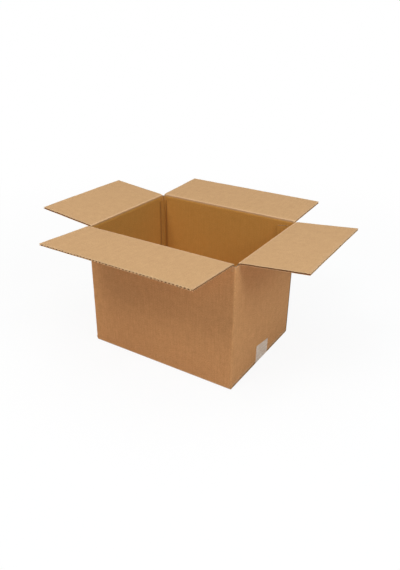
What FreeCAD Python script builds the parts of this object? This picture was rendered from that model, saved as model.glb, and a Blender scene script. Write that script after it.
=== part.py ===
import FreeCAD, Part
import math
import os

# Open slotted carton, folded from one sheet of single-wall corrugated board.
# Millimetres. The origin is the centre of the base, X runs along the long walls,
# the front is at -Y and Z is up. Top flaps stand open, bottom flaps are taped shut.

# Inside of the closed carton
inside_length = 300.0
inside_width = 230.0
inside_height = 226.4

# Board: two liners with a fluted medium between them
board = 3.0
liner = 0.3
medium = 0.3
flute_pitch = 6.5
flute_flank_angle = 50.0
crest_steps = 4
edge_margin = 1.2

# Folds
fold_inner_radius = 0.4
stack_gap = 0.2
crease_gap = 0.2
crushed_at_crease = 7.0
score_depth = 0.4
score_width_end_wall = 12.0
score_width_long_wall = 6.0

# Top flaps: how far each side edge stands in from the carton's outer corner
seam_gap = 0.6
front_flap_inset_left = 1.0
front_flap_inset_right = 5.0
back_flap_inset_left = 4.0
back_flap_inset_right = 2.4
left_flap_inset_front = 6.4
left_flap_inset_back = 6.2
right_flap_inset_front = 9.5
right_flap_inset_back = 3.6
slot_drop = 1.0
long_flap_lift_angle = 3.0
end_flap_lift_angle = 7.0

# Bottom flaps
bottom_inset_long = 4.0
bottom_inset_end = 6.5
bottom_slot_rise = 1.2

# Glued joint: a tab on the right wall lies inside the back wall
tab_width = 33.0
tab_taper = 5.0
tab_drop = 1.5
joint_setback = 1.0

# Tape over the bottom seam and up both end walls
tape_width = 48.0
tape_thickness = 0.1
tape_front_height = 40.0
tape_back_height = 33.0
tape_turn_radius = 3.0

# Sizes that follow from the ones above
half_length = inside_length / 2 + board
half_width = inside_width / 2 + board
fold_outer_radius = fold_inner_radius + board
floor_height = 2 * board + stack_gap
end_crease = floor_height + inside_height + board
long_crease = end_crease + board + stack_gap
flap_depth = half_width - seam_gap / 2
slot_floor = end_crease - slot_drop
slot_bottom = board + stack_gap + bottom_slot_rise
wall_middle = end_crease / 2
joint_bend = board + fold_outer_radius


def along_x(across, height, x):
    """Point of a section that is drawn square to X."""
    return FreeCAD.Vector(x, across, height)


def along_y(across, height, y):
    """Point of a section that is drawn square to Y."""
    return FreeCAD.Vector(across, y, height)


def along_z(across, depth, z):
    """Point of a section that is drawn square to Z."""
    return FreeCAD.Vector(across, depth, z)


def prism(corners, plane, start, end):
    """Solid of a straight-sided outline, from one place to another along its axis."""
    points = [plane(a, b, start) for a, b in corners]
    outline = Part.makePolygon(points + points[:1])
    return Part.Face(outline).extrude(plane(0, 0, end) - plane(0, 0, start))


def rounded_path(corners, radius, plane, place):
    """Edges through the corners, with a tangent arc at each one that is not an end."""
    edges = []
    here = FreeCAD.Vector(*corners[0], 0)
    for before, corner, after in zip(corners, corners[1:], corners[2:]):
        corner = FreeCAD.Vector(*corner, 0)
        arriving = (corner - FreeCAD.Vector(*before, 0)).normalize()
        leaving = (FreeCAD.Vector(*after, 0) - corner).normalize()
        first = corner - arriving * radius
        last = corner + leaving * radius
        centre = first + leaving * radius
        middle = centre + (corner - centre).normalize() * radius
        edges.append(Part.LineSegment(plane(here.x, here.y, place), plane(first.x, first.y, place)))
        arc_points = [plane(point.x, point.y, place) for point in (first, middle, last)]
        edges.append(Part.Arc(*arc_points))
        here = last
    edges.append(Part.LineSegment(plane(here.x, here.y, place), plane(*corners[-1], place)))
    return edges


def other_face(outside, thickness):
    """The same path on the other face of a sheet, which lies to the left of it."""
    steps = []
    for (a, b), (c, d) in zip(outside, outside[1:]):
        run = FreeCAD.Vector(c - a, d - b, 0).normalize()
        steps.append(FreeCAD.Vector(-run.y, run.x, 0) * thickness)
    folds = [before + after for before, after in zip(steps, steps[1:])]
    moves = steps[:1] + folds + steps[-1:]
    return [(a + move.x, b + move.y) for (a, b), move in zip(outside, moves)]


def folded_sheet(outside, thickness, inner_radius, plane, start, end):
    """Sheet that follows the outside points and folds square to the left at each one."""
    inside = other_face(outside, thickness)
    outer_edges = rounded_path(outside, inner_radius + thickness, plane, start)
    inner_edges = rounded_path(inside, inner_radius, plane, start)
    ends = [Part.LineSegment(plane(*outside[i], start), plane(*inside[i], start)) for i in (0, -1)]
    shapes = [edge.toShape() for edge in outer_edges + inner_edges + ends]
    outline = Part.Wire(Part.__sortEdges__(shapes))
    return Part.Face(outline).extrude(plane(0, 0, end) - plane(0, 0, start))


class Side:
    """One wall of the carton, drawn as if it were the front one and then turned about Z."""

    def __init__(self, turn, reach, half_span, crease, insets, bends, lift, base_height, base_inset):
        self.turn = turn
        self.reach = reach
        self.crease = crease
        self.lift = lift
        self.first = -half_span + insets[0]
        self.last = half_span - insets[1]
        self.lip_first = max(self.first, -half_span + bends[0])
        self.lip_last = min(self.last, half_span - bends[1])
        self.base_height = base_height
        self.base_half_span = half_span - base_inset

    def placed(self, shape):
        shape.rotate(FreeCAD.Vector(0, 0, 0), FreeCAD.Vector(0, 0, 1), self.turn)
        return shape

    def lip(self):
        """Top of the wall, from the slots up to the crease, mitred to meet its closed flap."""
        corners = [
            (-self.reach, wall_middle),
            (-self.reach, self.crease),
            (-self.reach + board, self.crease - board),
            (-self.reach + board, wall_middle),
        ]
        return self.placed(prism(corners, along_x, self.lip_first, self.lip_last))

    def flap_room(self):
        """What the wall gives up to the mitred root of its closed flap."""
        corners = [
            (-self.reach, self.crease),
            (-self.reach + board, self.crease - board),
            (-self.reach + board, self.crease + board),
            (-self.reach, self.crease + board),
        ]
        first = self.first - stack_gap
        return self.placed(prism(corners, along_x, first, self.last + stack_gap))

    def base_flap(self):
        """Foot of the wall and the bottom flap that folds in from it."""
        path = [
            (-self.reach, wall_middle),
            (-self.reach, self.base_height),
            (-self.reach + flap_depth, self.base_height),
        ]
        span = self.base_half_span
        return self.placed(folded_sheet(path, board, fold_inner_radius, along_x, -span, span))

    def top_flap(self):
        """Flap of fluted board, hinged on the wall's outer face at the crease."""
        foot = crease_gap + crushed_at_crease
        corners = [
            (-crease_gap, 0),
            (-foot, 0),
            (-foot, board),
            (-crease_gap - board, board),
        ]
        crushed = prism(corners, along_x, self.first, self.last)
        fluted = fluted_board(self.first, self.last, -foot, -flap_depth)
        flap = crushed.fuse(fluted).removeSplitter()
        flap.rotate(FreeCAD.Vector(0, 0, 0), FreeCAD.Vector(1, 0, 0), -self.lift)
        flap.translate(FreeCAD.Vector(0, -self.reach, self.crease))
        return self.placed(flap)


def flute_channel(centre, pointing_up, place):
    """Outline of one air channel: a liner, two flanks of the medium and a round crest."""
    flank = math.radians(flute_flank_angle)
    wave_height = board - 2 * liner - medium
    crest = flute_pitch / 2 * math.sin(flank) - wave_height * math.cos(flank)
    crest = crest / (2 * (1 - math.cos(flank))) - medium / 2
    turns = [flank * (2 * step / crest_steps - 1) for step in range(crest_steps + 1)]
    low = liner + medium
    high = board - liner
    outline = [(crest * math.sin(turn), low + crest * (1 - math.cos(turn))) for turn in turns]
    shoulder, shoulder_height = outline[-1]
    half_base = shoulder + (high - shoulder_height) / math.tan(flank)
    outline += [(half_base, high), (-half_base, high)]
    points = []
    for across, height in outline:
        height = board - height if pointing_up else height
        points.append(along_y(centre + across, height, place))
    return Part.makePolygon(points + points[:1])


def fluted_board(first, last, start, end):
    """Board between two places along Y, with the channels of the flutes right through."""
    outline = Part.makePolygon([
        along_y(first, 0, start),
        along_y(last, 0, start),
        along_y(last, board, start),
        along_y(first, board, start),
        along_y(first, 0, start),
    ])
    flutes = int((last - first - 2 * edge_margin) / flute_pitch)
    middle = (first + last) / 2
    channels = []
    for index in range(2 * flutes - 1):
        centre = middle + (index - flutes + 1) * flute_pitch / 2
        channels.append(flute_channel(centre, index % 2 == 1, start))
    section = Part.makeFace([outline] + channels, "Part::FaceMakerCheese")
    return section.extrude(FreeCAD.Vector(0, end - start, 0))


def wall_band():
    """The four walls between the slots, and the glued tab inside the back wall."""
    joint_start = half_width - joint_bend
    plan = [
        (half_length - joint_setback, half_width),
        (-half_length, half_width),
        (-half_length, -half_width),
        (half_length, -half_width),
        (half_length, joint_start),
    ]
    walls = folded_sheet(plan, board, fold_inner_radius, along_z, slot_bottom, slot_floor)
    tab_end = half_length - board - tab_width
    tab_plan = [
        (half_length, joint_start - board),
        (half_length, half_width - board),
        (tab_end, half_width - board),
    ]
    tab = folded_sheet(tab_plan, board, fold_inner_radius, along_z, slot_bottom, slot_floor)
    low = floor_height + tab_drop
    high = end_crease - board - tab_drop
    fold = half_length - board
    tab_outline = [
        (half_length, low),
        (half_length, high),
        (fold, high),
        (tab_end, high - tab_taper),
        (tab_end, low + tab_taper),
        (fold, low),
    ]
    tab = tab.common(prism(tab_outline, along_y, -half_width, half_width))
    return walls.fuse(tab)


def score_band(corner, along, across, width):
    """Shallow band that the scoring tool pressed inside, from an upright fold along a wall."""
    x = corner[0] + along[0] * fold_inner_radius
    y = corner[1] + along[1] * fold_inner_radius
    far = (x + along[0] * width, y + along[1] * width)
    depth = (across[0] * score_depth, across[1] * score_depth)
    outline = [
        (x, y),
        (x + depth[0], y + depth[1]),
        (far[0] + depth[0], far[1] + depth[1]),
        far,
    ]
    return prism(outline, along_z, floor_height, long_crease)


def score_bands():
    """Bands beside the three plain upright folds, and on the right wall beside the tab."""
    inner_x = half_length - board
    inner_y = half_width - board
    joint_corner = (inner_x, inner_y - board)
    bands = [score_band(joint_corner, (0, -1), (1, 0), score_width_end_wall)]
    for x, y in ((-1, -1), (1, -1), (-1, 1)):
        corner = (x * inner_x, y * inner_y)
        bands.append(score_band(corner, (0, -y), (x, 0), score_width_end_wall))
        bands.append(score_band(corner, (-x, 0), (0, y), score_width_long_wall))
    return bands


def sealing_tape():
    """One strip under the seam that turns up both end walls, torn off at a slant."""
    reach = half_length + tape_thickness
    top = max(tape_front_height, tape_back_height)
    path = [(-reach, top), (-reach, 0), (reach, 0), (reach, top)]
    half = tape_width / 2
    strip = folded_sheet(path, tape_thickness, tape_turn_radius, along_y, -half, half)
    slant = [
        (-half, tape_front_height),
        (half, tape_back_height),
        (half, top + tape_width),
        (-half, top + tape_width),
    ]
    return strip.cut(prism(slant, along_x, -reach - board, reach + board))


def long_side(turn, insets, bends):
    """Front or back wall with its flaps."""
    lift = long_flap_lift_angle
    return Side(turn, half_width, half_length, long_crease, insets, bends, lift, 0.0, bottom_inset_long)


def end_side(turn, insets, bends):
    """Left or right wall with its flaps, whose bottom one lies inside the long ones."""
    lift = end_flap_lift_angle
    base = board + stack_gap
    return Side(turn, half_length, half_width, end_crease, insets, bends, lift, base, bottom_inset_end)


plain_bends = (fold_outer_radius, fold_outer_radius)
sides = {
    "front_flap": long_side(0, (front_flap_inset_left, front_flap_inset_right), plain_bends),
    "right_flap": end_side(
        90, (right_flap_inset_front, right_flap_inset_back), (fold_outer_radius, joint_bend)
    ),
    "back_flap": long_side(
        180, (back_flap_inset_right, back_flap_inset_left), (joint_setback, fold_outer_radius)
    ),
    "left_flap": end_side(270, (left_flap_inset_back, left_flap_inset_front), plain_bends),
}

tape = sealing_tape()
carton = wall_band()
for side in sides.values():
    carton = carton.fuse([side.lip(), side.base_flap()])
rooms = [side.flap_room() for side in sides.values()]
carton = carton.cut(rooms + score_bands() + [tape]).removeSplitter()

nodes = {"carton_body": carton, "sealing_tape": tape}
for name, side in sides.items():
    nodes[name] = side.top_flap()

os.makedirs("parts", exist_ok=True)
for name, shape in nodes.items():
    solid = shape.Solids[0]
    solid.exportStep("parts/" + name + ".step")
    print(name, solid.isValid(), len(shape.Solids), "solid", len(solid.Faces), "faces")
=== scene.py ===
import math
from collections import namedtuple

import bmesh
import bpy
import numpy as np
from mathutils import Matrix, Vector, noise


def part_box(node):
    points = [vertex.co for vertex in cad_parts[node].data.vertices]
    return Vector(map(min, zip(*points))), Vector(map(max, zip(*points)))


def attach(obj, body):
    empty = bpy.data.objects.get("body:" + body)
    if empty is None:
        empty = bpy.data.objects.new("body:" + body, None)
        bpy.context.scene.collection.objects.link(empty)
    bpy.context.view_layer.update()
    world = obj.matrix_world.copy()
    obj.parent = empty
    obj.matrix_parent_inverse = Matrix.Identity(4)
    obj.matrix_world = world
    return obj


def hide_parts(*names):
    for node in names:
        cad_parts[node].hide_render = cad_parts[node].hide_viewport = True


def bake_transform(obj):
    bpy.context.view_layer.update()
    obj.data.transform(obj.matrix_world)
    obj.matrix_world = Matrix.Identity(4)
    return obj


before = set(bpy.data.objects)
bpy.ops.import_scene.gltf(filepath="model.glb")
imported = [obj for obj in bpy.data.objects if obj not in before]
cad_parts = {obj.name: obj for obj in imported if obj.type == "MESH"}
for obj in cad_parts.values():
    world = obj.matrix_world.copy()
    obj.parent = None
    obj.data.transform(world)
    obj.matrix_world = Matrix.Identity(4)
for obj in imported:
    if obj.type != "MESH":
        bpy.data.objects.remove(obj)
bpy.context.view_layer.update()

# An open cardboard box, dressed over the solids of the frame. Sizes are in millimetres.
MM = 0.001

# The board.
BOARD = 3.0
LINER = 0.32
MEDIUM = 0.3
FLUTE = 6.5
FLUTE_START = 1.1
FLUTE_STEEPNESS = 2.1
FLUTE_UPPER_SHARE = 0.2

# The walls.
HALF_LENGTH = 153.0
HALF_WIDTH = 118.0
CARTON_HEIGHT = 236.0
CORNER = 3.4
CORNER_STEPS = 8
WALL_STEP = 4.2
WALL_ROWS = 49
BOW = {"front": 0.9, "back": 0.6, "left": -0.6, "right": 0.5}
RIPPLE = 0.5
CORNER_WAVER = 0.16
SLOT_FLOOR = 236.3
SLOT_FOOT = 4.4
JOIN_TOP = 227.0
JOIN_FOOT = 10.0

# The glued tab, inside the back wall's right end.
TAB_FACE = HALF_WIDTH - BOARD
TAB_START = 117.0
TAB_FOOT = 7.7
TAB_HEAD = 231.1
TAB_FOLD = HALF_LENGTH - BOARD
TAB_TAPER = 5.0
TAPER_LOW_END = 60.0
TAPER_HIGH_END = 180.0
TAB_COLUMNS = 12
BACK_WALL_END = 152.0

# The pressed band beside each inside corner.
SCORE = 0.4
SCORE_BAND = {"front": 6.0, "back": 6.0, "left": 12.0, "right": 12.0}

# The flaps. A bottom flap's level is that of its lower face.
FLAP_DEPTH = 117.5
FLAP_STEP = 3.1
LIFT = {"front": 3.0, "back": 3.0, "left": 6.3, "right": 6.3}
FOLD_LEVEL = {"front": 237.6, "back": 237.6, "left": 236.8, "right": 236.8}
FOLD_REACH = 1.7
FOLD_ROUND = 1.1
FOLD_BEND = 0.5
CRUSHED_BOARD = 2.3
CRUSH_REACH = 3.5
BOTTOM_LEVEL = {"front": 0.0, "back": 0.0, "left": 3.2, "right": 3.2}
BOTTOM_SPAN = {
    "front": (-152.0, 152.0),
    "back": (-152.0, 152.0),
    "left": (-111.5, 111.5),
    "right": (-111.5, 111.5),
}

# How far the top flaps stray from a flat, straight sheet.
SAG = 0.55
SHEET_RIPPLE = 0.16
EDGE_PINCH = 0.35
PINCH_REACH = 9.0
RAGGED = 0.22
RAGGED_REACH = 1.3
SIDE_TRIM = 0.25
SIDE_WOBBLE = 0.28
SIDE_REACH = 8.0

# The fluted paper that the cut edges show.
EDGE_REACH = 26.0
EDGE_INSET = 0.3
FINE_STEP = 0.55
SIDE_STRIP = 6.0
SIDE_COLUMNS = 12

# The tape.
TAPE_HALF = 24.0
TAPE_FILM = 0.1
TAPE_GAP = 0.12
TAPE_TURN = 3.0
TAPE_FRONT_END = 40.0
TAPE_BACK_END = 33.0
TAPE_RIPPLE = 0.16
TAPE_LIFTED = 0.35

# The camera, from the straight edges of the carton.
LENS_PIXELS = 553.43
LONG_SIDE_PIXELS = 570.0
SENSOR = 36.0
LOOK_AROUND = 31.707
LOOK_DOWN = 26.702
LOOK_ROLL = 0.786
LOOK_AT = Vector((-0.2485, 0.4785, 0.1015)) * 0.306
LOOK_FROM = 4.1131 * 0.306

# The studio: each lamp's place, aim, size, watts and colour.
WORLD_GLOW = 0.14
FLOOR_HALF = 8.0
FLOOR_LEVEL = -0.0004
LAMPS = {
    "top_light": ((0.0, 0.1, 2.2), (0, 0, 0.2), 1.7, 17.5, (1.0, 1.0, 1.0)),
    "front_light": ((-0.35, -1.4, 2.15), (0, 0, 0.1), 1.0, 29.5, (1.0, 1.0, 1.0)),
    "side_light": ((1.7, -0.5, 1.6), (0, 0, 0.1), 1.0, 21.5, (0.80, 0.93, 1.0)),
}

# The order of the finishes on every piece of board.
LINER_FINISH, MEDIUM_FINISH, CUT_FINISH = 0, 1, 2


def wander(a, b, c=0.0):
    """Smooth values between -1 and 1 that change over about one unit of a or b."""
    a, b = np.broadcast_arrays(np.asarray(a, float), np.asarray(b, float))
    out = np.empty(a.shape)
    for i in np.ndindex(a.shape):
        out[i] = noise.noise(Vector((a[i], b[i], c)))
    return out


def held(x):
    """x held between 0 and 1."""
    return np.clip(x, 0.0, 1.0)


def ease(x):
    """0 below 0, 1 above 1, and smooth between."""
    x = held(x)
    return x * x * (3 - 2 * x)


# One piece

class Piece:
    """Gathers one piece's points and faces, and what its finish needs to know at each point."""

    def __init__(self):
        self.points = []
        self.place = []
        self.wear_and_painted_light = []
        self.faces = []
        self.finish = []
        self.count = 0

    def add(self, points, run, height, through, fold=0.0, cut=0.0, score_shade=0.0):
        """Adds a grid of points and gives their numbers.
        run and height place them on the flat sheet, through is 0 at its outer face and 1 at its inner."""
        shape = points.shape[:2]
        place = [np.broadcast_to(v, shape) for v in (run * MM, height * MM, through)]
        # The three wear values: a painted highlight along folds with some scuffing, paler cut edges, and
        # painted shade at the score lines.
        wear_and_painted_light = [np.broadcast_to(v, shape) for v in (fold, cut, score_shade)]
        self.points.append(points.reshape(-1, 3))
        self.place.append(np.stack(place, axis=-1).reshape(-1, 3))
        self.wear_and_painted_light.append(np.stack(wear_and_painted_light, axis=-1).reshape(-1, 3))
        first = self.count
        self.count += shape[0] * shape[1]
        return np.arange(first, self.count).reshape(shape)

    def quads(self, grid, finish, present=None):
        """Faces between the points of a grid, or only where present says so."""
        faces = np.stack([grid[:-1, :-1], grid[1:, :-1], grid[1:, 1:], grid[:-1, 1:]], axis=-1)
        self.add_faces(faces[present] if present is not None else faces, finish)

    def add_faces(self, faces, finish):
        faces = np.asarray(faces).reshape(-1, 4)
        self.faces.append(faces)
        self.finish.append(np.full(len(faces), finish, np.int32))

    def slab(self, one, two, finish):
        """A closed sheet between two grids of the same shape."""
        self.quads(one, finish)
        self.quads(two, finish)
        for edge in (np.s_[0], np.s_[-1], np.s_[:, 0], np.s_[:, -1]):
            self.quads(np.stack([one[edge], two[edge]]), finish)

    def make(self, name, finishes, sharp=40.0):
        """The mesh object, with its normals outwards and its edges sharp above an angle."""
        points = np.concatenate(self.points) * MM
        mesh = bpy.data.meshes.new(name)
        mesh.from_pydata(points.tolist(), [], np.concatenate(self.faces).tolist())
        for material in finishes:
            mesh.materials.append(material)
        mesh.polygons.foreach_set("material_index", np.concatenate(self.finish))
        for title, values in (("place", self.place), ("wear_and_painted_light", self.wear_and_painted_light)):
            attribute = mesh.attributes.new(title, "FLOAT_VECTOR", "POINT")
            attribute.data.foreach_set("vector", np.concatenate(values).astype(np.float32).ravel())
        mesh.validate()
        turned = bmesh.new()
        turned.from_mesh(mesh)
        bmesh.ops.recalc_face_normals(turned, faces=turned.faces)
        turned.to_mesh(mesh)
        turned.free()
        mesh.shade_smooth()
        mesh.set_sharp_from_angle(angle=math.radians(sharp))
        made = bpy.data.objects.new(name, mesh)
        bpy.context.collection.objects.link(made)
        return made


# The walls

class Side:
    """One wall: where it lies, its top flap's span, and where it is on the flat sheet.
    run_start is the run along the sheet at the wall's middle."""

    def __init__(self, name, along, outward, half, half_span, run_start, run_way):
        self.name = name
        self.along = np.array(along, float)
        self.outward = np.array(outward, float)
        self.half = half
        self.half_span = half_span
        self.run_start = run_start
        self.run_way = run_way
        self.axis = 0 if along[0] else 1
        self.flap = name + "_flap"
        low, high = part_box(self.flap)
        self.span = (round(low[self.axis] * 1000, 1), round(high[self.axis] * 1000, 1))
        self.score_start = half_span - BOARD - SCORE_BAND[name]

    def run(self, s):
        """How far along the flat sheet a place on this wall lies."""
        return self.run_start + self.run_way * s

    def at(self, s, out, up):
        """The points at s along the wall, out from its outer face and up from the floor."""
        s, out, up = np.broadcast_arrays(s, out, up)
        flat = s[..., None] * self.along + (self.half + out)[..., None] * self.outward
        return np.concatenate([flat, up[..., None]], axis=-1)

    def push(self, s, z):
        """How far the wall stands out of its plane at s along it and z up, as no wall is quite flat."""
        across = np.cos(np.clip(s / self.half_span, -1, 1) * math.pi / 2)
        shape = across * np.sin(held(z / CARTON_HEIGHT) * math.pi)
        ripple = wander(s / 62.0, z / 85.0, self.half * 0.37)
        return BOW[self.name] * shape + RIPPLE * ripple * shape

    def corner_pull(self, s):
        """How far the rounded corners draw the outer face in, at s along the wall."""
        high = TAB_FACE if self.name == "right" else self.half_span
        past = np.maximum(np.maximum(s - (high - CORNER), -s - (self.half_span - CORNER)), 0.0)
        if self.name == "back":
            past = np.where(s > 0, 0.0, past)
        return CORNER - np.sqrt(CORNER ** 2 - np.minimum(past, CORNER) ** 2)

    def pressed(self, s):
        """How far the inner face is pressed in beside the corners, at s along the wall."""
        return np.where(np.abs(s) > self.score_start - 0.1, SCORE, 0.0)


SIDES = {
    "right": Side("right", (0, 1), (1, 0), HALF_LENGTH, HALF_WIDTH, 151.0, -1),
    "front": Side("front", (1, 0), (0, -1), HALF_WIDTH, HALF_LENGTH, 422.0, -1),
    "left": Side("left", (0, 1), (-1, 0), HALF_LENGTH, HALF_WIDTH, 693.0, 1),
    "back": Side("back", (1, 0), (0, 1), HALF_WIDTH, HALF_LENGTH, 964.0, 1),
}

# The walls are a row of columns, each a line up the outer face and one up the inner.
Column = namedtuple("Column", "outer inner wall s run ray rounded")


def wall_marks(side, low, high):
    """The places along a wall that have a column, with its flaps' ends and its score among them."""
    marks = np.linspace(low, high, 1 + int(round((high - low) / WALL_STEP)))
    wanted = [*side.span, *BOTTOM_SPAN[side.name]]
    for score in (side.score_start, side.score_start - 0.5):
        wanted += [score, -score]
    wanted = [w for w in wanted if low + 0.05 < w < high - 0.05]
    kept = [m for m in marks if m in (low, high) or all(abs(m - w) > 1.0 for w in wanted)]
    return sorted(kept + wanted)


def wall_columns():
    """The columns from the tab's free end round to the back wall's cut edge."""
    names = ["tab", "right", "front", "left", "back"]
    corners = [
        (TAB_START, TAB_FACE),
        (HALF_LENGTH, TAB_FACE),
        (HALF_LENGTH, -HALF_WIDTH),
        (-HALF_LENGTH, -HALF_WIDTH),
        (-HALF_LENGTH, HALF_WIDTH),
        (BACK_WALL_END, HALF_WIDTH),
    ]
    columns = []
    for i, name in enumerate(names):
        start, end = np.array(corners[i], float), np.array(corners[i + 1], float)
        way = (end - start) / np.linalg.norm(end - start)
        ray = np.array((-way[1], way[0]))
        axis = 0 if abs(way[0]) > 0.5 else 1
        first = start + way * (CORNER if i > 0 else 0)
        last = end - way * (CORNER if i < len(names) - 1 else 0)
        low, high = sorted((first[axis], last[axis]))
        if name == "tab":
            marks = list(np.linspace(low, high, TAB_COLUMNS))
        else:
            marks = wall_marks(SIDES[name], low, high)
        for s in marks if way[axis] > 0 else marks[::-1]:
            outer = start.copy()
            outer[axis] = s
            run = s - TAB_FOLD if name == "tab" else SIDES[name].run(s)
            columns.append(Column(outer, outer - BOARD * ray, name, s, run, ray, False))
        if i < len(names) - 1:
            columns += corner_columns(name, names[i + 1], end, way, ray, columns[-1].run)
    return columns


def corner_columns(name, following, corner, way, ray, run):
    """The columns round one vertical corner, half of them on each wall."""
    centre = corner - CORNER * way - CORNER * ray
    columns = []
    for step in range(1, CORNER_STEPS):
        angle = step * math.pi / 2 / CORNER_STEPS
        turned = ray * math.cos(angle) + way * math.sin(angle)
        outer = centre + CORNER * turned
        inner = centre + (CORNER - BOARD) * turned
        owner = name if step <= CORNER_STEPS / 2 and name != "tab" else following
        s = outer[SIDES[owner].axis]
        columns.append(Column(outer, inner, owner, s, run + angle * 2.0, turned, True))
    return columns


def column_reach(column, following):
    """From which height to which the sheet is there between two columns."""
    if column.wall == "tab":
        return TAB_FOOT, TAB_HEAD
    side = SIDES[column.wall]
    s = (column.outer[side.axis] + following.outer[side.axis]) / 2
    top, foot = side.span, BOTTOM_SPAN[side.name]
    high = JOIN_TOP if top[0] - 0.05 < s < top[1] + 0.05 else SLOT_FLOOR
    low = JOIN_FOOT if foot[0] < s < foot[1] else SLOT_FOOT
    if side.name == "right" and s > TAB_FACE - CORNER:
        return TAB_FOOT, min(high, TAB_HEAD)
    return low, high


def walls(piece):
    """The four walls and the tab: an outer face, an inner face, and the cut edges that join them."""
    columns = wall_columns()
    main_levels = np.linspace(JOIN_FOOT, JOIN_TOP, WALL_ROWS)
    levels = np.array([SLOT_FOOT, TAB_FOOT, *main_levels, TAB_HEAD, SLOT_FLOOR])
    runs = np.array([c.run for c in columns])
    s = np.array([c.s for c in columns])
    rays = np.array([c.ray for c in columns])
    rounded = np.array([c.rounded for c in columns])

    middle = (levels[1:] + levels[:-1]) / 2
    present = np.zeros((len(middle), len(columns) - 1), bool)
    for i in range(len(columns) - 1):
        low, high = column_reach(columns[i], columns[i + 1])
        present[:, i] = (middle > low) & (middle < high)

    z = np.repeat(levels[:, None], len(columns), axis=1)
    tab = np.array([c.wall == "tab" for c in columns])
    taper = np.where(tab, TAB_TAPER * (TAB_FOLD - s) / (TAB_FOLD - TAB_START), 0.0)
    low_part = held((TAPER_LOW_END - z) / (TAPER_LOW_END - TAB_FOOT))
    high_part = held((z - TAPER_HIGH_END) / (TAB_HEAD - TAPER_HIGH_END))
    z = z + taper * (low_part - high_part)

    bulge = np.zeros(z.shape)
    pressed = np.zeros(len(columns))
    score_shade = np.zeros(len(columns))
    for side in SIDES.values():
        own = np.array([c.wall == side.name for c in columns])
        flat = own & ~rounded
        bulge[:, own] = side.push(s[own], z[:, own])
        pressed[flat] = side.pressed(s[flat])
        # Painted shade: a dark line at each step of the pressed band beside the corners.
        score_shade[flat] = np.abs(np.abs(s[flat]) - side.score_start) < 0.6
    bulge = bulge + rounded * CORNER_WAVER * wander(z / 14.0, runs / 90.0, 3.1)
    # Painted shade over the pressed band itself, lighter than at its steps.
    score_shade = score_shade + 0.25 * (pressed > 0)

    def face(flat, inward, through):
        flat = flat + (bulge + inward)[..., None] * rays
        points = np.concatenate([flat, z[..., None]], axis=-1)
        cut = held(1 - np.abs(z - SLOT_FLOOR) / 4) * rounded
        # Rounded corners get a painted highlight, as on the folds.
        return piece.add(points, runs, z, through, rounded * 0.25, cut, score_shade * through)

    outer = face(np.array([c.outer for c in columns]), 0.0, 0.0)
    inner = face(np.array([c.inner for c in columns]), pressed, 1.0)
    piece.quads(outer, LINER_FINISH, present)
    piece.quads(inner, LINER_FINISH, present)

    edges = []
    beside = np.pad(present, 1)
    for j, i in np.argwhere(present):
        low, high = (j, i), (j + 1, i + 1)
        low_right, high_left = (j, i + 1), (j + 1, i)
        for neighbour, a, b in (
            (beside[j, i + 1], low, low_right),
            (beside[j + 2, i + 1], high, high_left),
            (beside[j + 1, i], high_left, low),
            (beside[j + 1, i + 2], low_right, high),
        ):
            if not neighbour:
                edges.append((outer[a], outer[b], inner[b], inner[a]))
    piece.add_faces(edges, CUT_FINISH)


# The flaps

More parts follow.
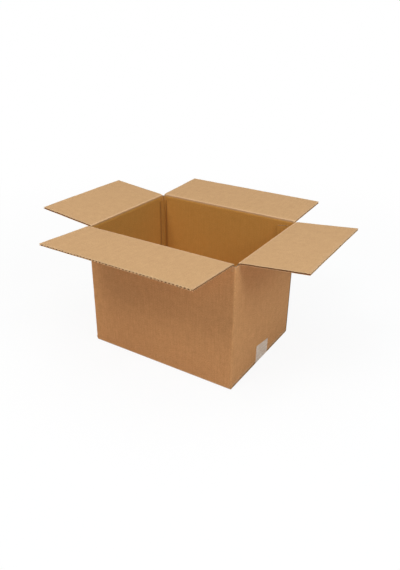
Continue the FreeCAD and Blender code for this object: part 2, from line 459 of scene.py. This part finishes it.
class Flap:
    """A flap of fluted board, with the fold that joins it to its wall.
    Its section is a row of points on each face, as (out from the wall, up), with their
    distance past the fold."""

    def __init__(self, side, span, level, seed, section):
        self.side = side
        self.span = span
        self.level = level
        self.seed = side.half * 0.11 + seed
        self.outer, self.inner, self.past = (np.array(v, float) for v in zip(*section))
        self.reach = self.past[-1]
        self.board = np.linalg.norm(self.inner - self.outer, axis=1)

    def surface(self, piece, s, through, rows):
        """Adds one surface of the flap: through the board by a share given for each row and column."""
        outer, inner = self.outer[rows][:, None, :], self.inner[rows][:, None, :]
        section = outer + (inner - outer) * through[..., None]
        u = self.past[rows][:, None]
        out, up = self.bend(s, u, section[..., 0], section[..., 1] + self.level, through)
        points = self.side.at(s - self.trim(s, u), out, up)
        from_side = np.minimum(s - self.span[0], self.span[1] - s)
        cut = np.exp(-np.clip(np.minimum(from_side, self.reach - u), 0, 60) / 1.6)
        return piece.add(points, self.side.run(s), self.height(u), through, self.fold(u), cut)

    def layer(self, piece, s, low, high, rows, finish):
        """A closed sheet between two surfaces, low and high through the board."""
        one = self.surface(piece, s, low, rows)
        two = self.surface(piece, s, high, rows)
        piece.slab(one, two, finish)

    def wave(self, s, rows):
        """The fluted paper's lower and upper surface, as shares through the board."""
        room = 0.5 - (LINER + MEDIUM / 2) / self.board[rows]
        turn = 2 * math.pi * (s - self.span[0]) / FLUTE + FLUTE_START
        crest = np.tanh(FLUTE_STEEPNESS * (np.sin(turn) + FLUTE_UPPER_SHARE)) / 0.95
        centre = 0.5 + room[:, None] * np.clip(crest, -1, 1)
        half = (MEDIUM / 2 / self.board[rows])[:, None]
        return centre - half, centre + half

    def build(self, piece):
        """Two liners, and between them the fluted paper where the cut edges show it."""
        start, end = self.span
        every = np.arange(len(self.past))
        s = np.linspace(start, end, 1 + int(round((end - start) / FLAP_STEP)))
        s = np.sort(np.concatenate([s, [start + 0.6, end - 0.6]]))
        liner = (LINER / self.board)[:, None] * np.ones(len(s))
        self.layer(piece, s, liner * 0, liner, every, LINER_FINISH)
        self.layer(piece, s, 1 - liner, liner * 0 + 1, every, LINER_FINISH)

        near = every[self.past > self.reach - EDGE_REACH]
        near = np.array([near[0], near[len(near) // 2], *near[-4:]])
        fine = np.linspace(start + EDGE_INSET, end - EDGE_INSET, int((end - start) / FINE_STEP))
        low, high = self.wave(fine, near)
        self.layer(piece, fine, low, high, near, MEDIUM_FINISH)
        upper_liner = np.broadcast_to((1 - LINER / self.board[near])[:, None], low.shape)
        self.layer(piece, fine, np.minimum(high, upper_liner - 0.004), upper_liner, near, MEDIUM_FINISH)

        rest = every[: near[0] + 1]
        for a, b in ((start + EDGE_INSET, start + SIDE_STRIP), (end - SIDE_STRIP, end - EDGE_INSET)):
            strip = np.linspace(a, b, SIDE_COLUMNS)
            self.layer(piece, strip, *self.wave(strip, rest), rest, MEDIUM_FINISH)


class TopFlap(Flap):
    """A top flap, lifted a little above level, with a crushed fold."""

    def __init__(self, side):
        self.lift = math.radians(LIFT[side.name])
        level = FOLD_LEVEL[side.name]
        super().__init__(side, side.span, level, 0.0, self.section(level - JOIN_TOP))

    def section(self, drop):
        along = np.array((math.cos(self.lift), math.sin(self.lift)))
        normal = np.array((-along[1], along[0]))

        def board(distance):
            return CRUSHED_BOARD + (BOARD - CRUSHED_BOARD) * ease((distance - 0.3) / CRUSH_REACH)

        rows = []
        for d in (drop, drop * 0.8, drop * 0.6, 4.6, 3.4, 2.4, 1.5, 0.7, 0.0):
            rows.append(((0.0, -d), (-board(d), -d), -d - 1.0))
        centre = np.array((FOLD_ROUND - CRUSHED_BOARD, CRUSHED_BOARD - FOLD_ROUND))
        for k in np.linspace(0, 1, 7):
            angle = math.pi + (self.lift - math.pi / 2) * k
            inner = centre + FOLD_ROUND * np.array((math.cos(angle), math.sin(angle)))
            outer = along * FOLD_BEND * k ** 2 + np.array((0.0, 0.05)) * (1 - k)
            rows.append((outer, inner, -0.9 + 1.3 * k))
        depths = [0.8, 1.4, 2.2, 3.2, 4.4, 6.4, 9.0, 12.5]
        depths += [*np.linspace(16, FLAP_DEPTH - 1.2, 31), FLAP_DEPTH - 0.4, FLAP_DEPTH]
        for u in depths:
            rows.append((along * u, along * u + normal * board(u), u))
        return rows

    def bend(self, s, u, out, up, through):
        """The sheet's sag and ripple, its nipped and ragged edge, and the wall's own shape below."""
        warp = ease(u / 90.0) * SAG * (wander(s / 70.0, u / 60.0, self.seed) - 1)
        warp = warp + ease(u / 20.0) * SHEET_RIPPLE * wander(s / 16.0, u / 30.0, self.seed + 3)
        at_edge = ease((u - self.reach + PINCH_REACH) / PINCH_REACH)
        pinch = at_edge * EDGE_PINCH * held(wander(s / 9.0, 0.0, self.seed + 5) + 0.2)
        warp = warp + pinch * (0.3 - through)
        last = held((u - self.reach + RAGGED_REACH) / RAGGED_REACH)
        ragged = last * RAGGED * (wander(s / 2.3, through * 1.7, self.seed + 9) - 1)
        out = out - math.sin(self.lift) * warp + math.cos(self.lift) * ragged
        up = up + math.cos(self.lift) * warp + math.sin(self.lift) * ragged
        out = out + self.side.push(s, np.minimum(up, self.level)) * held((-u - 1) / 4.0)
        on_wall = ease((-u - 2) / 4)
        return out + (self.side.pressed(s) * through - self.side.corner_pull(s)) * on_wall, up

    def trim(self, s, u):
        """How far the cut sides are drawn in towards the flap's middle."""
        middle = (self.span[0] + self.span[1]) / 2
        half = (self.span[1] - self.span[0]) / 2
        near = held((np.abs(s - middle) - half + SIDE_REACH) / SIDE_REACH)
        drawn = SIDE_TRIM + SIDE_WOBBLE * wander(u / 13.0, 1.0, self.seed)
        return np.sign(s - middle) * near * drawn * ease((u - 4) / 12)

    def height(self, u):
        return self.level + u

    # How near the crease each row lies: the weight of the painted highlight along it.
    def fold(self, u):
        return np.exp(-(u / 2.2) ** 2)


class BottomFlap(Flap):
    """A bottom flap, folded level under the walls."""

    def __init__(self, side):
        super().__init__(side, BOTTOM_SPAN[side.name], BOTTOM_LEVEL[side.name], 7.7, self.section(side))

    def section(self, side):
        wall_foot = JOIN_FOOT - BOTTOM_LEVEL[side.name]
        rows = []
        for z in (wall_foot, (wall_foot + CORNER) / 2, CORNER):
            rows.append(((0.0, z), (-BOARD, z), z - CORNER - 3.0))
        centre = np.array((-CORNER, CORNER))
        for k in np.linspace(0, 1, 9)[1:]:
            ray = np.array((math.cos(k * math.pi / 2), -math.sin(k * math.pi / 2)))
            rows.append((centre + CORNER * ray, centre + (CORNER - BOARD) * ray, 3.0 * (k - 1)))
        reach = FLAP_DEPTH - CORNER
        for u in (*np.linspace(4, reach - 1, 26), reach):
            rows.append(((-CORNER - u, 0.0), (-CORNER - u, BOARD), u))
        return rows

    def bend(self, s, u, out, up, through):
        """Room for the tape under the long flaps, and the wall's own shape above the fold."""
        if self.level == 0.0:
            under_tape = (up < 0.6) & (np.abs(self.side.half + out) < TAPE_HALF + 0.3)
            up = up + np.where(under_tape, TAPE_GAP, 0.0)
        on_wall = held(-u / 3.0)
        return out + (self.side.push(s, up) - self.side.corner_pull(s)) * on_wall, up

    def trim(self, s, u):
        return 0.0

    def height(self, u):
        return self.level - u

    # How near the fold each row lies: the weight of the painted highlight along it.
    def fold(self, u):
        return np.exp(-((u + 1.5) / 2.0) ** 2)


# The tape

def tape_rows():
    """The rows of points along the strip, as a part of it, the end it is at, and the place in that part."""
    climb = np.linspace(1, 0, 22)
    turn = np.arange(1, 6) / 6
    rows = [("wall", -1, k) for k in climb]
    rows += [("turn", -1, k) for k in turn]
    bottom_half = HALF_LENGTH - TAPE_TURN
    rows += [("bottom", 0, x) for x in np.linspace(-bottom_half, bottom_half, 60)]
    rows += [("turn", 1, k) for k in turn[::-1]]
    rows += [("wall", 1, k) for k in climb[::-1]]
    return rows


def tape_row(part, end, k, y, film):
    """One row of points across the strip, film out from the board."""
    if part == "bottom":
        return np.stack([y * 0 + k, y, y * 0 + TAPE_FILM - film], axis=-1)
    if part == "turn":
        radius = TAPE_TURN + film - TAPE_FILM
        z = y * 0 + TAPE_TURN - radius * math.sin(k * math.pi / 2)
        out = y * 0 + HALF_LENGTH - TAPE_TURN + radius * math.cos(k * math.pi / 2) + TAPE_FILM * (1 - k)
        return np.stack([end * out, y, z], axis=-1)
    slant = (y + TAPE_HALF) / (2 * TAPE_HALF)
    top = TAPE_FRONT_END + (TAPE_BACK_END - TAPE_FRONT_END) * slant
    z = TAPE_TURN + (top - TAPE_TURN) * k
    side = SIDES["left" if end < 0 else "right"]
    ripple = TAPE_RIPPLE * held(wander(y / 7.0 + 5 * k, z / 16.0, 4.0 + 2.0 * end))
    by_edge = held((np.abs(y) - 21.5) / 2.5)
    lifted = TAPE_LIFTED * by_edge * held(wander(3.0, z / 9.0, 4.0))
    out = HALF_LENGTH + film + ripple + lifted + side.push(y, z)
    return np.stack([end * out, y, z], axis=-1)


def tape():
    """The tape over the bottom seam, up both end walls."""
    piece = Piece()
    y = np.linspace(-TAPE_HALF, TAPE_HALF, 33)
    rows = tape_rows()
    run = np.arange(len(rows))[:, None] * 5.0
    cut = np.exp(-(TAPE_HALF - np.abs(y)) / 0.8)
    faces = []
    for film in (0.0, TAPE_FILM):
        points = np.array([tape_row(*row, y, film) for row in rows])
        faces.append(piece.add(points, run, y, film * MM, cut=cut))
    piece.slab(*faces, 0)
    return piece


# The finishes

class Flow:
    """A value or colour on its way through a finish. Its sums and products are Math nodes."""

    def __init__(self, nodes, socket):
        self.nodes = nodes
        self.socket = socket

    def output(self, title):
        """Another output of the node that this one comes from."""
        return Flow(self.nodes, self.socket.node.outputs[title])

    def __add__(self, other):
        return self.nodes.maths("ADD", self, other)

    def __radd__(self, other):
        return self.nodes.maths("ADD", other, self)

    def __sub__(self, other):
        return self.nodes.maths("SUBTRACT", self, other)

    def __rsub__(self, other):
        return self.nodes.maths("SUBTRACT", other, self)

    def __mul__(self, other):
        return self.nodes.maths("MULTIPLY", self, other)

    def __rmul__(self, other):
        return self.nodes.maths("MULTIPLY", other, self)


class Nodes:
    """The nodes of one material or of the world."""

    def __init__(self, owner, output="ShaderNodeOutputMaterial"):
        owner.use_nodes = True
        self.owner = owner
        self.tree = owner.node_tree
        self.tree.nodes.clear()
        self.end = self.tree.nodes.new(output)

    def node(self, kind, settings, inputs, output=0):
        """One node: its settings first, then a value or a link for each socket."""
        made = self.tree.nodes.new(kind)
        for title, value in settings.items():
            setattr(made, title, value)
        for title, value in inputs.items():
            if isinstance(value, Flow):
                self.tree.links.new(value.socket, made.inputs[title])
            else:
                made.inputs[title].default_value = value
        return Flow(self, made.outputs[output])

    def maths(self, operation, one, two=0.0):
        return self.node("ShaderNodeMath", {"operation": operation}, {0: one, 1: two})

    def attribute(self, title):
        """The three parts of a piece's own values at each point."""
        settings = {"attribute_type": "GEOMETRY", "attribute_name": title}
        vector = self.node("ShaderNodeAttribute", settings, {}, "Vector")
        first = self.node("ShaderNodeSeparateXYZ", {}, {0: vector})
        return vector, first, first.output("Y"), first.output("Z")

    def cloud(self, vector, scale, detail, roughness):
        """Soft noise, with as many lumps to the metre each way as scale says."""
        scaled = self.node("ShaderNodeVectorMath", {"operation": "MULTIPLY"}, {0: vector, 1: scale})
        inputs = {"Vector": scaled, "Scale": 1.0, "Detail": detail, "Roughness": roughness}
        return self.node("ShaderNodeTexNoise", {"noise_dimensions": "3D"}, inputs)

    def between(self, value, low, high, to_low=0.0, to_high=1.0, kind="SMOOTHSTEP"):
        """to_low where the value is low, to_high where it is high."""
        settings = {"interpolation_type": kind, "clamp": True}
        return self.node("ShaderNodeMapRange", settings, {0: value, 1: low, 2: high, 3: to_low, 4: to_high})

    def mix(self, amount, one, two):
        """From colour one to colour two."""
        one = one if isinstance(one, Flow) else (*one, 1.0)
        two = two if isinstance(two, Flow) else (*two, 1.0)
        settings = {"data_type": "RGBA", "blend_type": "MIX"}
        return self.node("ShaderNodeMix", settings, {0: amount, 6: one, 7: two}, 2)

    def relief(self, height, strength):
        return self.node("ShaderNodeBump", {}, {"Strength": strength, "Distance": 1.0, "Height": height})

    def paper(self, colour, rough, normal, shine, clear=1.0):
        """The surface itself, joined to the output."""
        inputs = {"Base Color": colour, "Roughness": rough, "Normal": normal}
        inputs.update({"Specular IOR Level": shine, "Alpha": clear})
        return self.show(self.node("ShaderNodeBsdfPrincipled", {}, inputs))

    def show(self, surface):
        self.tree.links.new(surface.socket, self.end.inputs["Surface"])
        return self.owner


def flute_wave(n, run):
    """The flutes, as a wave from -1 to 1 along the sheet."""
    return n.maths("SINE", run * (2 * math.pi / (FLUTE * MM)))


def kraft_liner():
    """Brown paper: mottled, with fibres and flecks, flutes just showing, and paler where cut. Painted light
    on it: a highlight along folds and rounded corners, with some scuffing; shade along the score lines; and
    the walls' inner face deeper and redder for the shade and bounced light inside the carton.
    """
    n = Nodes(bpy.data.materials.new("kraft_liner"))
    place, run, height, through = n.attribute("place")
    # The wear values: a painted highlight along folds with some scuffing, paler cut edges, and painted shade
    # along the score lines.
    _, fold, cut, score_shade = n.attribute("wear_and_painted_light")
    grain = n.cloud(place, (620.0, 520.0, 40.0), 3.0, 0.65)
    fibres = n.cloud(place, (2400.0, 700.0, 60.0), 2.0, 0.6)
    streaks = n.cloud(place, (330.0, 22.0, 40.0), 3.0, 0.6)
    mottle = n.cloud(place, (85.0, 85.0, 40.0), 3.0, 0.6)
    flecks = n.between(n.cloud(place, (900.0, 650.0, 60.0), 1.0, 0.5), 0.66, 0.74)
    flutes = flute_wave(n, run)
    tone = 0.52 * grain + 0.26 * fibres + 0.15 * streaks + 0.17 * mottle + 0.006 * flutes
    tone = n.between(tone, 0.40, 0.70, kind="LINEAR")
    outer_paper = n.mix(tone, (0.45, 0.203, 0.075), (0.715, 0.357, 0.149))
    inner_paper = n.mix(tone, (0.44, 0.252, 0.119), (0.61, 0.375, 0.188))
    # Painted bounced light and shade: the inner face below the fold is the flap tops' paper, painted deeper
    # and redder for the inside of the carton.
    shaded_inner_wall = n.mix(tone, (0.50, 0.232, 0.048), (0.65, 0.32, 0.076))
    below_fold = n.between(height, 0.234, 0.238, 1.0, 0.0)
    inner_face = n.between(through, 0.4, 0.6)
    colour = n.mix(inner_face, outer_paper, n.mix(below_fold, inner_paper, shaded_inner_wall))
    colour = n.mix(flecks * 0.3, colour, (0.30, 0.15, 0.06))
    # Painted highlight along the folds and rounded corners, where the bend catches the light, broken up a
    # little like real scuffing.
    fold_mark_noise = n.cloud(place, (500.0, 300.0, 40.0), 2.0, 0.5)
    fold_highlight_and_scuff = n.between(fold * (0.6 + 0.8 * fold_mark_noise), 0.35, 0.95)
    colour = n.mix(fold_highlight_and_scuff * 0.4, colour, (0.72, 0.48, 0.29))
    colour = n.mix(cut * 0.4, colour, (0.56, 0.41, 0.25))
    # Painted shade along the score's steps and over the pressed band.
    colour = n.mix(score_shade * 0.5, colour, (0.16, 0.075, 0.025))
    bumps = flutes * 0.00003 + grain * 0.00007 + fibres * 0.00003 + mottle * 0.0001
    return n.paper(colour, n.between(grain, 0.3, 0.7, 0.92, 0.76), n.relief(bumps, 0.8), 0.1)


def fluted_paper():
    """The paper of the flutes: darker and redder inside, partly its own tone and partly painted shade of the
    hollows, and pale where it is cut, partly the cut paper and partly painted light on the lit edge.
    """
    n = Nodes(bpy.data.materials.new("fluted_paper"))
    place = n.attribute("place")[0]
    cut = n.attribute("wear_and_painted_light")[2]
    grain = n.cloud(place, (900.0, 900.0, 900.0), 2.0, 0.6)
    # Partly painted shade: the deep, red colour that the flute hollows show.
    colour = n.mix(grain, (0.36, 0.13, 0.035), (0.48, 0.21, 0.07))
    # Partly painted light: the paler cut edge, lit from the front.
    colour = n.mix(cut * 0.8, colour, (0.74, 0.47, 0.24))
    return n.paper(colour, n.between(grain, 0.3, 0.7, 0.97, 0.85), n.relief(grain * 0.00006, 0.6), 0.0)


def cut_board():
    """A cut edge of the walls, painted on a flat face: two liners and the wavy paper between them, with
    painted shade in the hollows.
    """
    n = Nodes(bpy.data.materials.new("cut_board"))
    place, run, _, through = n.attribute("place")
    from_wave = n.maths("ABSOLUTE", through - (0.5 + 0.36 * flute_wave(n, run)))
    from_middle = n.maths("ABSOLUTE", through - 0.5)
    solid = n.maths("MAXIMUM", n.between(from_wave, 0.05, 0.12, 1.0, 0.0), n.between(from_middle, 0.36, 0.4))
    grain = n.cloud(place, (1200.0, 1200.0, 3.0), 2.0, 0.6)
    light = n.mix(grain, (0.40, 0.255, 0.145), (0.60, 0.40, 0.235))
    # Painted shade: the hollows between the papers are near black.
    colour = n.mix(solid, (0.10, 0.05, 0.022), light)
    bumps = solid * 0.0002 + grain * 0.00006
    return n.paper(colour, n.between(grain, 0.3, 0.7, 0.97, 0.85), n.relief(bumps, 0.7), 0.0)


def tape_film():
    """Pale tan tape: a thin, slightly clear film with a soft shine and faint wrinkles."""
    n = Nodes(bpy.data.materials.new("tape_film"))
    place = n.attribute("place")[0]
    wrinkles = n.cloud(place, (90.0, 60.0, 40.0), 3.0, 0.5)
    bubbles = n.cloud(place, (260.0, 420.0, 40.0), 2.0, 0.5)
    colour = n.mix(n.between(wrinkles, 0.3, 0.7), (0.74, 0.54, 0.39), (0.88, 0.69, 0.53))
    bumps = wrinkles * 0.0004 + bubbles * 0.00008
    rough = n.between(bubbles, 0.3, 0.7, 0.42, 0.28)
    return n.paper(colour, rough, n.relief(bumps, 0.6), 0.5, n.between(bubbles, 0.35, 0.65, 0.6, 0.78))


def pale_floor():
    """White to the camera and in reflections, a little less so near the carton, for its shadow."""
    n = Nodes(bpy.data.materials.new("pale_floor"))
    ray = n.node("ShaderNodeLightPath", {}, {}, "Is Camera Ray")
    mirrored = n.maths("MAXIMUM", ray.output("Is Glossy Ray"), ray.output("Is Transmission Ray"))
    spot = n.node("ShaderNodeTexCoord", {}, {}, "Object")
    distance = n.node("ShaderNodeVectorMath", {"operation": "LENGTH"}, {0: spot}, "Value")
    glow = n.maths("MAXIMUM", ray, mirrored) * n.between(distance, 0.35, 1.3, 0.9, 1.0)
    paper = n.node("ShaderNodeBsdfDiffuse", {}, {"Color": (0.92, 0.92, 0.92, 1.0)})
    white = n.node("ShaderNodeEmission", {}, {"Color": (1.0, 1.0, 1.0, 1.0), "Strength": 1.0})
    return n.show(n.node("ShaderNodeMixShader", {}, {0: glow, 1: paper, 2: white}))


def studio_world():
    """A dim even glow that lights the carton, and plain white to the camera and in reflections."""
    n = Nodes(bpy.data.worlds.new("studio"), "ShaderNodeOutputWorld")
    ray = n.node("ShaderNodeLightPath", {}, {}, "Is Camera Ray")
    seen = n.maths("MAXIMUM", ray, ray.output("Is Glossy Ray"))
    glow, white = (
        n.node("ShaderNodeBackground", {}, {"Color": (1.0, 1.0, 1.0, 1.0), "Strength": strength})
        for strength in (WORLD_GLOW, 1.0)
    )
    return n.show(n.node("ShaderNodeMixShader", {}, {0: seen, 1: glow, 2: white}))


# The carton

board_finishes = [kraft_liner(), fluted_paper(), cut_board()]

shell = Piece()
walls(shell)
for wall in SIDES.values():
    BottomFlap(wall).build(shell)
carton_sheet = shell.make("carton_sheet", board_finishes)
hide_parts("carton_body")
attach(carton_sheet, "carton")

for wall in SIDES.values():
    sheet = Piece()
    TopFlap(wall).build(sheet)
    folded = sheet.make(wall.name + "_flap_sheet", board_finishes)
    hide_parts(wall.flap)
    level = FOLD_LEVEL[wall.name]
    start, end = (wall.at(0.0, reach, level + reach) * MM for reach in (-FOLD_REACH, FOLD_REACH))
    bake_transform(folded)

tape_strip = tape().make("tape_strip", [tape_film()])
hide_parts("sealing_tape")
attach(tape_strip, "carton")

# The studio

floor_mesh = bpy.data.meshes.new("floor")
floor_ways = ((-1, -1), (1, -1), (1, 1), (-1, 1))
floor_corners = [(x * FLOOR_HALF, y * FLOOR_HALF, FLOOR_LEVEL) for x, y in floor_ways]
floor_mesh.from_pydata(floor_corners, [], [(0, 1, 2, 3)])
floor_mesh.materials.append(pale_floor())
floor = bpy.data.objects.new("floor", floor_mesh)
bpy.context.collection.objects.link(floor)

bpy.context.scene.world = studio_world()

for name, (place, aim, size, watts, colour) in LAMPS.items():
    light = bpy.data.lights.new(name, "AREA")
    light.shape = "SQUARE"
    light.size = size
    light.energy = watts
    light.color = colour
    lamp = bpy.data.objects.new(name, light)
    turn = (Vector(place) - Vector(aim)).to_track_quat("Z", "Y").to_matrix().to_4x4()
    lamp.matrix_world = Matrix.Translation(place) @ turn
    bpy.context.collection.objects.link(lamp)

around, down, roll = (math.radians(a) for a in (LOOK_AROUND, LOOK_DOWN, LOOK_ROLL))
back = Vector((math.sin(around) * math.cos(down), -math.cos(around) * math.cos(down), math.sin(down)))
level_right = Vector((math.cos(around), math.sin(around), 0.0))
level_up = back.cross(level_right)
right = math.cos(roll) * level_right + math.sin(roll) * level_up
up = -math.sin(roll) * level_right + math.cos(roll) * level_up
lens = bpy.data.cameras.new("camera")
lens.sensor_width = SENSOR
lens.lens = LENS_PIXELS * SENSOR / LONG_SIDE_PIXELS
camera = bpy.data.objects.new("camera", lens)
facing = Matrix((right, up, back)).transposed().to_4x4()
camera.matrix_world = Matrix.Translation(LOOK_AT + LOOK_FROM * back) @ facing
bpy.context.collection.objects.link(camera)
bpy.context.scene.camera = camera
bpy.context.scene.view_settings.view_transform = "Standard"
